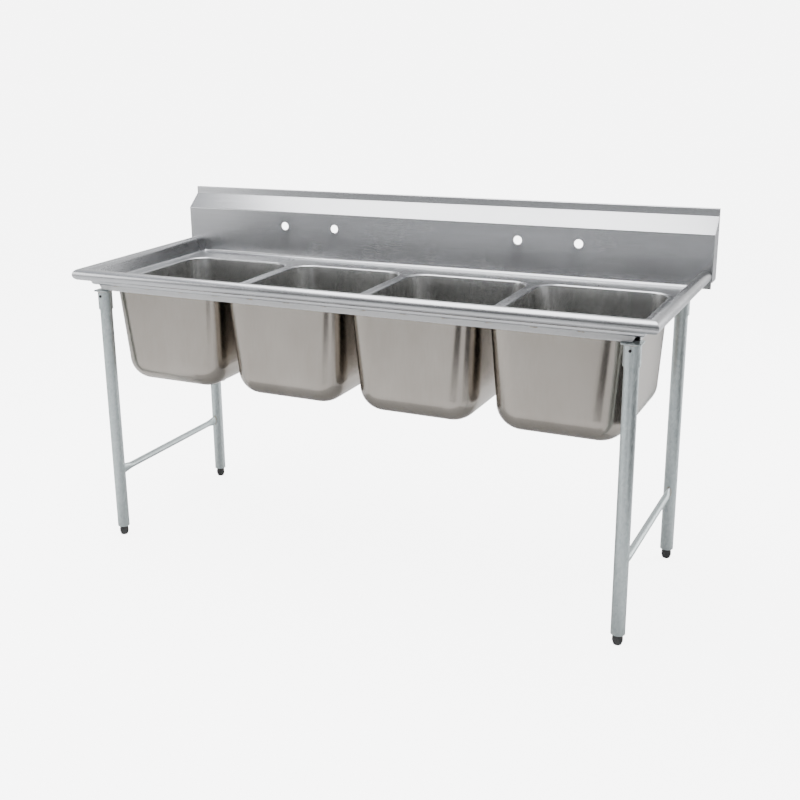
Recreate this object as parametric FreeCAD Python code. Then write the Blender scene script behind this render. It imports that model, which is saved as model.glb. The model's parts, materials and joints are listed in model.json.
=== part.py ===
"""A free-standing commercial sink with four deep compartments, legs, end crossrails and a splash.

Row frame, millimetres: +X along the sink to the right, +Y towards the wall, +Z up.
The origin is on the floor, under the middle of the sink's plan outline.

The top is formed from 2 mm stainless sheet: a rolled rim round the front and both ends, a flat deck
sunk below it, four drawn bowls let into the deck, and a splash along the back with two pairs of
faucet holes. Open channels stiffen the deck from below and carry four leg sockets on plates.
Each galvanised leg is held in its socket by a set screw and stands on a foot that screws in and out.
Every bowl drains through a basket drain with a lift-out strainer.
"""
import FreeCAD
import Part
import math
import os

V = FreeCAD.Vector
X, Y, Z = V(1, 0, 0), V(0, 1, 0), V(0, 0, 1)

# ---- driving dimensions ----
SHEET = 2.0

BOWL_WIDTH = 406.4
BOWL_DEPTH = 508.0
BOWL_COUNT = 4
BOWL_PITCH = 442.0
BOWL_DROP = 339.0
BOWL_CORNER = 64.0
BOWL_LOWER_CORNER = 88.0
BOWL_COVE = 78.0
BOWL_DRAFT = 15.0
BOWL_FLANGE = 10.0
BOWL_LIP_RADIUS = 6.0

END_MARGIN = 92.0
FRONT_MARGIN = 84.0
REAR_MARGIN = 106.0

RIM_TOP = 963.0
DECK_TOP = 908.0
ROLL_RADIUS = 19.0
ROLL_CURL = 285.0
RIM_LEAN = 15.0
RIM_FOOT_RADIUS = 9.0
RIM_WIDTH = 58.0

SPLASH_DEPTH = 64.0
SPLASH_BEND = 1073.0
UPTURN_BEND = 1121.0
SPLASH_TOP = 1146.0
UPTURN_RETURN = 8.0
COVE_RADIUS = 13.0
FAUCET_SPACING = 203.2
FAUCET_HOLE_RADIUS = 14.3
FAUCET_Z = 1022.0

CHANNEL_DROP = 18.0
CHANNEL_BEND = 3.0
FRONT_CHANNEL_WIDTH = 20.0
FRONT_CHANNEL_INSET = 70.0
REAR_CHANNEL_WIDTH = 38.0
END_CHANNEL_WIDTH = 22.0
LEG_RADIUS = 20.65
LEG_WALL = 1.6
LEG_INSET_X = 80.0
LEG_INSET_FRONT = 66.0
LEG_INSET_REAR = 76.0
LEG_FOOT_Z = 34.0
PLATE_THICK = 3.0
PLATE_SIZE = 56.0
PLATE_CORNER = 10.0
SOCKET_HEIGHT = 62.0
SOCKET_WALL = 3.0
SOCKET_GAP = 0.35
SCREW_RADIUS = 4.0
SCREW_DROP = 16.0
INSERT_RISE = 16.0
INSERT_HEIGHT = 30.0
STEM_RADIUS = 9.95
STEM_PLAY = 0.05

RAIL_Z = 239.0
RAIL_RADIUS = 11.1
RAIL_WALL = 1.5

DRAIN_SETBACK = 60.0
DRAIN_FLANGE_RADIUS = 57.0
DRAIN_CUP_RADIUS = 43.0
DRAIN_CUP_DROP = 34.0
OUTLET_RADIUS = 24.0
OUTLET_LENGTH = 24.0
SEAT_DROP = 3.0
DRAIN_WALL = 2.5
DRAIN_FLANGE = 2.0
GASKET_THICK = 3.0
STRAINER_SHEET = 1.2

# ---- places worked out from them ----
LENGTH = (BOWL_COUNT - 1) * BOWL_PITCH + BOWL_WIDTH + 2 * END_MARGIN
DEPTH = FRONT_MARGIN + BOWL_DEPTH + REAR_MARGIN + SPLASH_DEPTH
HALF = LENGTH / 2
FRONT, BACK = -DEPTH / 2, DEPTH / 2
FACE = BACK - SPLASH_DEPTH
ROLL_BOTTOM = RIM_TOP - 2 * ROLL_RADIUS
DECK_UNDER = DECK_TOP - SHEET
CHANNEL_BOTTOM = DECK_UNDER - CHANNEL_DROP
PLATE_BOTTOM = CHANNEL_BOTTOM - PLATE_THICK
REAR_CHANNEL_Y = BACK - 110.0
SCREW_Z = PLATE_BOTTOM - SCREW_DROP
INSERT_Z = LEG_FOOT_Z + INSERT_RISE
BOWL_Y = FRONT + FRONT_MARGIN + BOWL_DEPTH / 2
BOWL_FLOOR = DECK_TOP - BOWL_DROP
BOWL_XS = [(i - (BOWL_COUNT - 1) / 2) * BOWL_PITCH for i in range(BOWL_COUNT)]
DRAIN_Y = BOWL_Y + DRAIN_SETBACK
SEAT_Z = BOWL_FLOOR - SEAT_DROP
CUP_BOTTOM = SEAT_Z - SHEET - DRAIN_CUP_DROP
OUTLET_BOTTOM = CUP_BOTTOM - OUTLET_LENGTH
STRAINER_RADIUS = DRAIN_CUP_RADIUS - 3.5
STRAINER_FLOOR = CUP_BOTTOM + 8.0
STRAINER_RIM_Z = SEAT_Z + DRAIN_FLANGE + 0.3
LEG_X = HALF - LEG_INSET_X
LEG_FRONT_Y = FRONT + LEG_INSET_FRONT
LEG_REAR_Y = BACK - LEG_INSET_REAR
CORNERS = {
    "front_left": (-LEG_X, LEG_FRONT_Y),
    "front_right": (LEG_X, LEG_FRONT_Y),
    "rear_left": (-LEG_X, LEG_REAR_Y),
    "rear_right": (LEG_X, LEG_REAR_Y),
}


# ---- drawing helpers ----
def unit(degrees):
    """Unit vector in a section's own plane, anticlockwise from its first axis."""
    return V(math.cos(math.radians(degrees)), math.sin(math.radians(degrees)), 0)


def bent_sheet(start, heading, moves, place, thickness=SHEET):
    """Face of a bent sheet's section. Its mid-line starts at `start`, pointing `heading` degrees.
    A plain number in moves goes straight on, and a pair (radius, angle) bends, left if positive."""
    here, half = V(start[0], start[1], 0), thickness / 2
    edges, ends = [], {1: [], -1: []}

    def at(point):
        return place(point.x, point.y)

    for move in moves:
        if isinstance(move, tuple):
            radius, angle = move
            turn = math.copysign(1, angle)
            centre = here + unit(heading + 90 * turn) * radius
            from_centre = heading - 90 * turn
            for side in ends:
                r = radius - side * turn * half
                p = [centre + unit(from_centre + angle * k) * r for k in (0, 0.5, 1)]
                edges.append(Part.Arc(at(p[0]), at(p[1]), at(p[2])).toShape())
                ends[side] += [p[0], p[2]]
            here = centre + unit(from_centre + angle) * radius
            heading += angle
        else:
            for side in ends:
                p = here + unit(heading + 90) * (side * half)
                q = p + unit(heading) * move
                edges.append(Part.makeLine(at(p), at(q)))
                ends[side] += [p, q]
            here = here + unit(heading) * move
    for k in (0, -1):
        edges.append(Part.makeLine(at(ends[1][k]), at(ends[-1][k])))
    return Part.Face(Part.Wire(Part.__sortEdges__(edges)))


def polygon(points):
    return Part.Face(Part.makePolygon([V(*p) for p in points] + [V(*points[0])]))


def plan_prism(points, z0, z1):
    """Upright prism on a plan outline."""
    return polygon([(x, y, z0) for x, y in points]).extrude(Z * (z1 - z0))


def rounded_rectangle(cx, cy, width, depth, radius, z):
    """Closed wire with round corners, flat at height z."""
    edges = []
    a, b = width / 2 - radius, depth / 2 - radius
    for k, (sx, sy) in enumerate(((1, 1), (-1, 1), (-1, -1), (1, -1))):
        centre = V(cx + sx * a, cy + sy * b, z)
        p = [centre + unit(90 * k + turn) * radius for turn in (0, 45, 90)]
        edges.append(Part.Arc(*p).toShape())
        corner = [(-1, 1), (-1, -1), (1, -1), (1, 1)][k]
        following = V(cx + corner[0] * a, cy + corner[1] * b, z) + unit(90 * k + 90) * radius
        edges.append(Part.makeLine(p[2], following))
    return Part.Wire(edges)


def turned(profile, x, y):
    """Solid of revolution about the upright axis through (x, y); profile is (radius, z) points."""
    face = polygon([(x + r, y, z) for r, z in profile])
    return face.revolve(V(x, y, 0), Z, 360)


def cylinder(radius, base, direction, length):
    return Part.makeCylinder(radius, length, base, direction)


def save(name, *solids):
    """Writes one node's STEP file from one or more separate solids."""
    shape = solids[0] if len(solids) == 1 else Part.makeCompound(list(solids))
    shape.exportStep(os.path.join("parts", name + ".step"))


# ---- rolled rim and deck ----
def rim_face(place):
    """Section of the rolled rim: u runs inwards from the outer edge, w up from the top of the roll."""
    deck_w = DECK_TOP - RIM_TOP - SHEET / 2
    lean = math.radians(RIM_LEAN)
    mid_roll = ROLL_RADIUS - SHEET / 2
    wall_u = ROLL_RADIUS + mid_roll * math.cos(lean)
    wall_w = -ROLL_RADIUS + mid_roll * math.sin(lean)
    bend = 90 - RIM_LEAN
    tangent = RIM_FOOT_RADIUS * math.tan(math.radians(bend / 2))
    foot_u = wall_u + (wall_w - deck_w) * math.tan(lean)
    wall_length = (wall_w - deck_w) / math.cos(lean) - tangent
    moves = [RIM_WIDTH - foot_u - tangent, (RIM_FOOT_RADIUS, -bend), wall_length, (mid_roll, ROLL_CURL)]
    return bent_sheet((RIM_WIDTH, deck_w), 180, moves, place)


def front_rim():
    body = rim_face(lambda u, w: V(-HALF, FRONT + u, RIM_TOP + w)).extrude(X * LENGTH)
    reach = 2 * RIM_WIDTH
    outline = [(-HALF, FRONT), (HALF, FRONT), (HALF - reach, FRONT + reach), (-HALF + reach, FRONT + reach)]
    return body.common(plan_prism(outline, 0, SPLASH_TOP))


def end_rim(side):
    """Rim of one end, mitred to the front rim and butted to the splash; side is -1 left or 1 right."""
    body = rim_face(lambda u, w: V(side * (HALF - u), FRONT, RIM_TOP + w)).extrude(Y * (FACE - FRONT))
    reach = 2 * RIM_WIDTH
    outline = [(HALF, FRONT), (HALF, FACE), (HALF - reach, FACE), (HALF - reach, FRONT + reach)]
    return body.common(plan_prism([(side * x, y) for x, y in outline], 0, SPLASH_TOP))


def bowl_flange_outline(x, z):
    grow = 2 * BOWL_FLANGE
    return rounded_rectangle(x, BOWL_Y, BOWL_WIDTH + grow, BOWL_DEPTH + grow, BOWL_CORNER + BOWL_FLANGE, z)


def deck():
    x0, y0, y1 = HALF - RIM_WIDTH, FRONT + RIM_WIDTH, FACE + SHEET / 2 - COVE_RADIUS
    plate = plan_prism([(-x0, y0), (x0, y0), (x0, y1), (-x0, y1)], DECK_UNDER, DECK_TOP)
    for x in BOWL_XS:
        plate = plate.cut(Part.Face(bowl_flange_outline(x, DECK_UNDER)).extrude(Z * SHEET))
    return plate


# ---- bowls ----
def drafted_block(x, grow, top, floor, radius):
    """The bowl's own form, grown sideways: sides drawn in by the draft, corners that widen downwards."""
    width, depth, draft = BOWL_WIDTH + 2 * grow, BOWL_DEPTH + 2 * grow, 2 * BOWL_DRAFT
    upper = rounded_rectangle(x, BOWL_Y, width, depth, BOWL_CORNER + grow, top)
    lower = rounded_rectangle(x, BOWL_Y, width - draft, depth - draft, BOWL_LOWER_CORNER + grow, floor)
    block = Part.makeLoft([lower, upper], True, True)
    base = [e for e in block.Edges if all(abs(v.Z - floor) < 0.01 for v in e.Vertexes)]
    return block.makeFillet(radius, base)


def loop_edges(shape, z, x, width, depth):
    """Edges that lie flat at height z inside a rectangle centred on the bowl."""
    found = []
    for e in shape.Edges:
        box = e.BoundBox
        flat = abs(box.ZMin - z) < 0.01 and abs(box.ZMax - z) < 0.01
        inside = max(abs(box.XMin - x), abs(box.XMax - x)) < width / 2
        if flat and inside and max(abs(box.YMin - BOWL_Y), abs(box.YMax - BOWL_Y)) < depth / 2:
            found.append(e)
    return found


def bowl(x):
    """Drawn bowl with a narrow flange that is welded into the deck, and a seat for its drain."""
    outer = drafted_block(x, SHEET, DECK_TOP, BOWL_FLOOR - SHEET, BOWL_COVE + SHEET)
    inner = drafted_block(x, 0, DECK_TOP, BOWL_FLOOR, BOWL_COVE)
    flange = Part.Face(bowl_flange_outline(x, DECK_UNDER)).extrude(Z * SHEET)
    axis = V(x, DRAIN_Y, 0)
    seat_radius = DRAIN_FLANGE_RADIUS + 1
    seat = cylinder(seat_radius + SHEET, axis + Z * (SEAT_Z - SHEET), Z, SEAT_DROP + SHEET)
    hollow = cylinder(seat_radius, axis + Z * SEAT_Z, Z, SEAT_DROP + 1)
    hole = cylinder(DRAIN_CUP_RADIUS + 1, axis + Z * (SEAT_Z - SHEET - 1), Z, SEAT_DROP + SHEET + 2)
    body = outer.fuse(flange).fuse(seat).cut(inner).cut(hollow).cut(hole).removeSplitter()
    lip = loop_edges(body, DECK_TOP, x, BOWL_WIDTH + 4, BOWL_DEPTH + 4)
    body = body.makeFillet(BOWL_LIP_RADIUS, lip)
    under = loop_edges(body, DECK_UNDER, x, BOWL_WIDTH + 8, BOWL_DEPTH + 8)
    return body.makeFillet(BOWL_LIP_RADIUS - SHEET, under)


# ---- splash ----
def backsplash():
    """Coved foot, upright face, face sloping back, upturn and a return towards the wall."""
    slope_y, slope_z = SPLASH_DEPTH - UPTURN_RETURN, UPTURN_BEND - SPLASH_BEND
    angle = math.degrees(math.atan2(slope_z, slope_y))
    bend_radius = 4.0
    trim = bend_radius * math.tan(math.radians((90 - angle) / 2))
    face_y = FACE + SHEET / 2
    rise = SPLASH_BEND - (DECK_TOP - SHEET / 2 + COVE_RADIUS) - trim
    return_radius = 2.5
    over = [
        (bend_radius, angle - 90),
        math.hypot(slope_y, slope_z) - 2 * trim,
        (bend_radius, 90 - angle),
        SPLASH_TOP - SHEET / 2 - return_radius - UPTURN_BEND - trim,
        (return_radius, -90),
        UPTURN_RETURN - SHEET - 2 * return_radius,
        (return_radius, -90),
        6.0,
    ]
    coved = bent_sheet(
        (face_y - COVE_RADIUS, DECK_TOP - SHEET / 2),
        0,
        [(COVE_RADIUS, 90), rise] + over,
        lambda y, z: V(-HALF + RIM_WIDTH, y, z),
    ).extrude(X * (LENGTH - 2 * RIM_WIDTH))
    plain = bent_sheet(
        (face_y, DECK_UNDER), 90, [SPLASH_BEND - trim - DECK_UNDER] + over, lambda y, z: V(-HALF, y, z)
    )
    ends = [plain.extrude(X * RIM_WIDTH), plain.extrude(X * RIM_WIDTH).translated(X * (LENGTH - RIM_WIDTH))]
    sheet = coved.fuse(ends).removeSplitter()
    for pair in (-1, 1):
        for hole in (-1, 1):
            x = pair * BOWL_PITCH + hole * FAUCET_SPACING / 2
            sheet = sheet.cut(cylinder(FAUCET_HOLE_RADIUS, V(x, FACE - 10, FAUCET_Z), Y, 30))
    return sheet


def splash_end(side):
    """Plate that closes one end of the splash, down to the bottom of the rolled rim."""
    x = side * HALF
    outline = [
        (FACE, ROLL_BOTTOM), (BACK, ROLL_BOTTOM), (BACK, SPLASH_TOP), (BACK - UPTURN_RETURN, SPLASH_TOP),
        (BACK - UPTURN_RETURN, UPTURN_BEND), (FACE, SPLASH_BEND),
    ]
    plate = polygon([(x, y, z) for y, z in outline]).extrude(X * side * SHEET)
    crown = [e for e in plate.Edges if e.Length < SHEET * 1.5 and e.BoundBox.ZMin > SPLASH_TOP - 1]
    lowest = [e for e in plate.Edges if e.Length < SHEET * 1.5 and e.BoundBox.ZMax < ROLL_BOTTOM + 1]
    return plate.makeFillet(3.0, crown).makeFillet(6.0, lowest)


# ---- under-structure ----
def channel_section(width, place):
    """Channel open towards the deck; its outer width is given."""
    flat = width - SHEET - 2 * CHANNEL_BEND
    side = CHANNEL_DROP - SHEET / 2 - CHANNEL_BEND
    return bent_sheet(
        (SHEET / 2, 0), -90, [side, (CHANNEL_BEND, 90), flat, (CHANNEL_BEND, 90), side], place
    )


def front_channel():
    y0, width, reach = FRONT + 53.0, FRONT_CHANNEL_WIDTH, HALF - FRONT_CHANNEL_INSET
    body = channel_section(width, lambda u, w: V(-reach, y0 + u, DECK_UNDER + w)).extrude(X * 2 * reach)
    cut_back = 10.0
    outline = [
        (-reach, DECK_UNDER), (reach, DECK_UNDER), (reach - cut_back, CHANNEL_BOTTOM),
        (-reach + cut_back, CHANNEL_BOTTOM),
    ]
    return body.common(polygon([(x, y0 - 1, z) for x, z in outline]).extrude(Y * (width + 2)))


def rear_channel():
    reach = HALF - 64.0
    section = channel_section(REAR_CHANNEL_WIDTH, lambda u, w: V(-reach, REAR_CHANNEL_Y + u, DECK_UNDER + w))
    return section.extrude(X * 2 * reach)


def end_channel(side):
    y0, y1, x0 = FRONT + 74.0, REAR_CHANNEL_Y - 1.0, HALF - 62.0
    section = channel_section(END_CHANNEL_WIDTH, lambda u, w: V(side * (x0 - u), y0, DECK_UNDER + w))
    return section.extrude(Y * (y1 - y0))


def leg_socket(x, y):
    """Cup under a square plate, with a tapped hole for its set screw towards the front."""
    h = PLATE_SIZE / 2
    outline = [(x - h, y - h), (x + h, y - h), (x + h, y + h), (x - h, y + h)]
    plate = plan_prism(outline, PLATE_BOTTOM, CHANNEL_BOTTOM)
    upright = [e for e in plate.Edges if abs(e.BoundBox.ZLength - PLATE_THICK) < 0.01]
    plate = plate.makeFillet(PLATE_CORNER, upright)
    bore = LEG_RADIUS + SOCKET_GAP
    cup = cylinder(bore + SOCKET_WALL, V(x, y, PLATE_BOTTOM - SOCKET_HEIGHT), Z, SOCKET_HEIGHT)
    mouth = cylinder(bore, V(x, y, PLATE_BOTTOM - SOCKET_HEIGHT - 1), Z, SOCKET_HEIGHT + 1)
    tapped = cylinder(SCREW_RADIUS, V(x, y, SCREW_Z), -Y, 40)
    return plate.fuse(cup).cut(mouth).cut(tapped)


def set_screw(x, y):
    """Socket head set screw that bears on the leg, with its hexagon recess outwards."""
    tip = LEG_RADIUS
    length = SOCKET_GAP + SOCKET_WALL + 3.0
    body = cylinder(SCREW_RADIUS, V(x, y - tip, SCREW_Z), -Y, length)
    hexagon = [V(x, y - tip - length, SCREW_Z) + X * (2.3 * math.cos(a)) + Z * (2.3 * math.sin(a))
               for a in [math.radians(60 * k) for k in range(6)]]
    recess = Part.Face(Part.makePolygon(hexagon + hexagon[:1])).extrude(Y * 3.0)
    return body.cut(recess)


def leg(x, y):
    base = V(x, y, LEG_FOOT_Z)
    height = PLATE_BOTTOM - LEG_FOOT_Z
    return cylinder(LEG_RADIUS, base, Z, height).cut(cylinder(LEG_RADIUS - LEG_WALL, base, Z, height))


def foot_insert(x, y):
    """Threaded plug fixed in the bottom of a leg, set high enough for the foot to draw up into the tube."""
    outer, bore, top = LEG_RADIUS - LEG_WALL, STEM_RADIUS + STEM_PLAY, INSERT_Z + INSERT_HEIGHT
    return turned([(bore, INSERT_Z), (outer, INSERT_Z), (outer, top), (bore, top)], x, y)


def foot(x, y):
    """Bullet foot and its stem: a short drum that rounds in to a small flat sole."""
    top, stem_top = LEG_FOOT_Z + 2.0, INSERT_Z + INSERT_HEIGHT + 6.0
    body = turned([(0, 0), (11, 0), (14, 9), (14.5, 16), (14.5, top - 1), (13.5, top), (STEM_RADIUS, top),
                   (STEM_RADIUS, stem_top), (0, stem_top)], x, y)
    rounded = [e for e in body.Edges if abs(e.BoundBox.ZMax - 9) < 0.01 and e.BoundBox.ZLength < 0.01]
    return body.makeFillet(12.0, rounded)


def rail_wire(x, y, half_width, half_height):
    """Oval section of a crossrail, upright across the rail."""
    tall = max(half_height, half_width + 0.001)
    oval = Part.Ellipse(V(x, y, RAIL_Z + tall), V(x + half_width, y, RAIL_Z), V(x, y, RAIL_Z))
    return Part.Wire(oval.toShape())


def crossrail(x):
    """Tube between a front and a rear leg, pressed flat and tall at both ends and coped to the legs."""
    flat_end, round_start = 30.0, 72.0

    def body(trim):
        r, flat_w, flat_h = RAIL_RADIUS - trim, 6.0 - trim, 17.0 - trim
        pieces = []
        for y0, way in ((LEG_FRONT_Y, 1), (LEG_REAR_Y, -1)):
            y_flat, y_round = y0 + way * flat_end, y0 + way * round_start
            squashed = rail_wire(x, y_flat, flat_w, flat_h)
            pieces.append(Part.Face(squashed).extrude(Y * (y0 - y_flat)))
            pieces.append(Part.makeLoft([squashed, rail_wire(x, y_round, r, r)], True, True))
        middle = Part.Face(rail_wire(x, LEG_FRONT_Y + round_start, r, r))
        pieces.append(middle.extrude(Y * (LEG_REAR_Y - LEG_FRONT_Y - 2 * round_start)))
        return pieces[0].fuse(pieces[1:])

    rail = body(0).cut(body(RAIL_WALL))
    for y in (LEG_FRONT_Y, LEG_REAR_Y):
        rail = rail.cut(cylinder(LEG_RADIUS, V(x, y, 0), Z, RIM_TOP))
    return rail.removeSplitter()


# ---- drains ----
def drain_body(x):
    """Flange, straight cup and threaded outlet in one piece, open down the middle."""
    inner, bore, ledge = DRAIN_CUP_RADIUS - DRAIN_WALL, OUTLET_RADIUS - DRAIN_WALL, CUP_BOTTOM + DRAIN_WALL
    flange_top = SEAT_Z + DRAIN_FLANGE
    profile = [
        (inner, flange_top), (DRAIN_FLANGE_RADIUS - 2, flange_top), (DRAIN_FLANGE_RADIUS, SEAT_Z),
        (DRAIN_CUP_RADIUS, SEAT_Z), (DRAIN_CUP_RADIUS, CUP_BOTTOM), (OUTLET_RADIUS, CUP_BOTTOM),
        (OUTLET_RADIUS, OUTLET_BOTTOM), (bore, OUTLET_BOTTOM), (bore, ledge), (inner, ledge),
    ]
    return turned(profile, x, DRAIN_Y)


def drain_gasket(x):
    inner, outer, top = DRAIN_CUP_RADIUS + 0.3, 55.0, SEAT_Z - SHEET
    bottom = top - GASKET_THICK
    return turned([(inner, bottom), (outer, bottom), (outer, top), (inner, top)], x, DRAIN_Y)


def drain_locknut(x):
    """Ring nut with lugs round it, screwed up under the gasket."""
    inner, outer, top, height = DRAIN_CUP_RADIUS, 52.0, SEAT_Z - SHEET - GASKET_THICK, 10.0
    ring = turned([(inner, top - height), (outer, top - height), (outer, top), (inner, top)], x, DRAIN_Y)
    lug = Part.makeBox(6, 10, height, V(x + outer - 2, DRAIN_Y - 5, top - height))
    axis = V(x, DRAIN_Y, 0)
    lugs = []
    for k in range(8):
        turned_lug = lug.copy()
        turned_lug.rotate(axis, Z, 45 * k)
        lugs.append(turned_lug)
    return ring.fuse(lugs).removeSplitter()


def strainer(x):
    """Lift-out basket that hangs by its lip on the drain flange, pierced over its floor."""
    floor, wall, lip = STRAINER_FLOOR, STRAINER_SHEET, 6.0
    top = STRAINER_RIM_Z + wall
    outer, inner = STRAINER_RADIUS, STRAINER_RADIUS - wall
    body = turned([
        (0, floor), (outer - 4, floor), (outer, floor + 5), (outer, STRAINER_RIM_Z),
        (outer + lip, STRAINER_RIM_Z), (outer + lip, top), (inner, top), (inner, floor + 6), (inner - 4, floor + wall), (0, floor + wall),
    ], x, DRAIN_Y)
    for ring_radius, count in ((14.0, 8), (23.0, 14), (31.0, 20)):
        for k in range(count):
            at = V(x, DRAIN_Y, floor - 1) + unit(360 * k / count) * ring_radius
            body = body.cut(cylinder(2.4, at, Z, wall + 2))
    return body


def strainer_post(x):
    """Pull knob on a post that stands on the strainer's floor."""
    base = STRAINER_FLOOR + STRAINER_SHEET
    knob = BOWL_FLOOR + 3
    return turned([
        (0, base), (7, base), (7, base + 2), (3, base + 4), (3, knob - 6), (9, knob - 3), (9, knob - 1),
        (7, knob), (0, knob),
    ], x, DRAIN_Y)


def main():
    os.makedirs("parts", exist_ok=True)
    save("front_rim", front_rim())
    save("deck", deck())
    save("backsplash", backsplash())
    for word, side in (("left", -1), ("right", 1)):
        save(f"{word}_rim", end_rim(side))
        save(f"splash_end_{word}", splash_end(side))
        save(f"end_channel_{word}", end_channel(side))
        save(f"crossrail_{word}", crossrail(side * LEG_X))
    save("front_channel", front_channel())
    save("rear_channel", rear_channel())
    for word, (x, y) in CORNERS.items():
        save(f"leg_socket_{word}", leg_socket(x, y))
        save(f"leg_{word}", leg(x, y))
        save(f"foot_insert_{word}", foot_insert(x, y))
        save(f"foot_{word}", foot(x, y))
    save("set_screws", *[set_screw(x, y) for x, y in CORNERS.values()])
    for number, x in enumerate(BOWL_XS, 1):
        save(f"bowl_{number}", bowl(x))
        save(f"drain_body_{number}", drain_body(x))
        save(f"drain_gasket_{number}", drain_gasket(x))
        save(f"drain_locknut_{number}", drain_locknut(x))
        save(f"strainer_{number}", strainer(x))
        save(f"strainer_post_{number}", strainer_post(x))


main()
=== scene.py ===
"""Visual model of a free-standing stainless commercial sink with four deep bowls.

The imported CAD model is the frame. The rolled rim, splash, bowls, legs, crossrails, feet and drains are
made again here as smooth formed sheet and tube, with their welds and threads. The long channels also get
end plates. The other CAD nodes stay and get their finishes. All lengths are in metres, and all named angles
in degrees.
"""

import json
import math

import bmesh
import bpy
from mathutils import Matrix, Vector


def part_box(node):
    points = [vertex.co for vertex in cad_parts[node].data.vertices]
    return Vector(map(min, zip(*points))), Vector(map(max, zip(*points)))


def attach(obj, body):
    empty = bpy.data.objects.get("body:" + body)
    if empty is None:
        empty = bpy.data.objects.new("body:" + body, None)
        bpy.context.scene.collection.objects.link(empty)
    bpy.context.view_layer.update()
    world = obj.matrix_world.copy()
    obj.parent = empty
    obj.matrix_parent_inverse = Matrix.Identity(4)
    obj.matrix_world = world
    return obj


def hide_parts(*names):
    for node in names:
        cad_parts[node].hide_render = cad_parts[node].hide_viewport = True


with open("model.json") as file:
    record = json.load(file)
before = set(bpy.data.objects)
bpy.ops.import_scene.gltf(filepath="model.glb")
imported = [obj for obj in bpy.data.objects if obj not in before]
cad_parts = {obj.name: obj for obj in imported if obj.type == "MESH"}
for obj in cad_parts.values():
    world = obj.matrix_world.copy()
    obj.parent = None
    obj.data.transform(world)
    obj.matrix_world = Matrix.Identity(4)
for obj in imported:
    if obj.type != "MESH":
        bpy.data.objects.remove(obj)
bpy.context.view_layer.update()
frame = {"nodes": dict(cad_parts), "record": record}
NODES = frame["nodes"]

# ---- sizes that the frame's boxes don't give ----
SHEET = 0.002
ROLL_RADIUS = 0.019
ROLL_CURL = 285
RIM_LEAN = 15
RIM_FOOT_RADIUS = 0.009
BOWL_FLANGE = 0.010
BOWL_LIP = 0.006
BOWL_CORNER = 0.064
BOWL_LOWER_CORNER = 0.088
BOWL_COVE = 0.078
BOWL_DRAFT = 0.015
BOWL_PITCH_TO_DRAIN = 0.0025
SEAT_DROP = 0.003
SEAT_RADIUS = 0.058
SEAT_MARGIN = 0.004
DRAIN_HOLE = 0.044
LEG_RADIUS = 0.02065
LEG_WALL = 0.0016
RAIL_RADIUS = 0.0111
RAIL_FLAT = (0.006, 0.017)
RAIL_FLAT_END = 0.030
RAIL_ROUND_START = 0.072
COPE_OVERLAP = 0.0003
SOCKET_WALL = 0.0042
SOCKET_WELD_DROP = 0.0008
FACE_BEND = 1.073
UPTURN_BEND = 1.121
SPLASH_RETURN = 0.008
SPLASH_COVE = 0.013
SPLASH_BEND_RADIUS = 0.004
SPLASH_LIP_RADIUS = 0.0025
FAUCET_SPACING = 0.2032
FAUCET_HOLE_RADIUS = 0.0143
FAUCET_Z = 1.022
STEM_RADIUS = 0.0099
THREAD_PITCH = 0.0024
THREAD_RIDGE = 0.0008
THREAD_DEPTH = 0.0011
DRAIN_CUP_RADIUS = 0.043
DRAIN_WALL = 0.0025
OUTLET_RADIUS = 0.024
OUTLET_LENGTH = 0.024
OUTLET_PITCH = 0.0022
OUTLET_TURNS = 8.0
BEAD_WIDTH = 0.0042
BEAD_RIPPLE = 0.0022
BEAD_LIFT = 0.0006
STITCH_WIDTH = 0.0034
STITCH_LENGTH = 0.022
STITCH_PITCH = 0.13
END_PLATE = 0.0015
END_PLATE_INSET = 0.0004
FRONT_CHANNEL_CUT = 0.0098
SMOOTH_BELOW = 35
GROWN_SMOOTH_BELOW = 50

# ---- finishes' grain, studio and camera ----
EVEN = (1.0, 1.0, 1.0)
LENGTHWISE = (0.008, 1.0, 1.0)
CROSSWISE = (1.0, 0.008, 1.0)
FLOOR_REACH = 40.0
FLOOR_GLOW = 6.0
BACKDROP_GLOW = 6.6
CARD_DISTANCE = 1.9
CARD_HEIGHT = 0.55
CAMERA_PLACE = (1.5532, -3.2149, 1.6707)
CAMERA_AZIMUTH = 29.079
CAMERA_ELEVATION = 16.259
CAMERA_ROLL = -1.616
CAMERA_LENS = 50.929
CAMERA_SHIFT = (0.0989, -0.0378)

CORNERS = ("front_left", "front_right", "rear_left", "rear_right")
SIDES = (("left", -1), ("right", 1))
BOWLS = (1, 2, 3, 4)


def low(node):
    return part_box(node)[0]


def high(node):
    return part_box(node)[1]


def middle(node):
    return (low(node) + high(node)) / 2


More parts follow.
